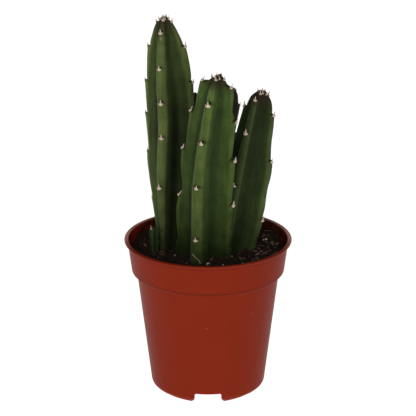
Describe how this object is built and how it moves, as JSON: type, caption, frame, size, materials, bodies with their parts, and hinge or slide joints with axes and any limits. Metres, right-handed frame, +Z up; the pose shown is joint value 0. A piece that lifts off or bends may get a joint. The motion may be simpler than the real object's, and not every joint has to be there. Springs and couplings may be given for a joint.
{
  "type": "potted stapelia",
  "caption": "Leafless succulent with upright four-ribbed, toothed green stems, rooted in dark soil in a round tapered nursery pot.",
  "frame": {"origin": "middle of the pot's underside, on the plane that the pot stands on", "axes": "+Z up along the pot's axis, -Y towards the front as pictured, +X to its right"},
  "size_m": [0.105, 0.105, 0.2419],
  "materials": {
    "pot_plastic": "satin",
    "peat_soil": "matte",
    "stem_tall_skin": "satin",
    "stem_front_skin": "satin",
    "stem_right_skin": "satin",
    "stem_back_skin": "satin",
    "stem_pup_skin": "satin"
  },
  "bodies": {
    "root": {"pot": "pot_plastic", "soil": "peat_soil", "stem_tall": "stem_tall_skin", "stem_front": "stem_front_skin", "stem_right": "stem_right_skin", "stem_back_left": "stem_back_skin", "stem_back_right": "stem_back_skin", "stem_pup": "stem_pup_skin"}
  },
  "joints": []
}
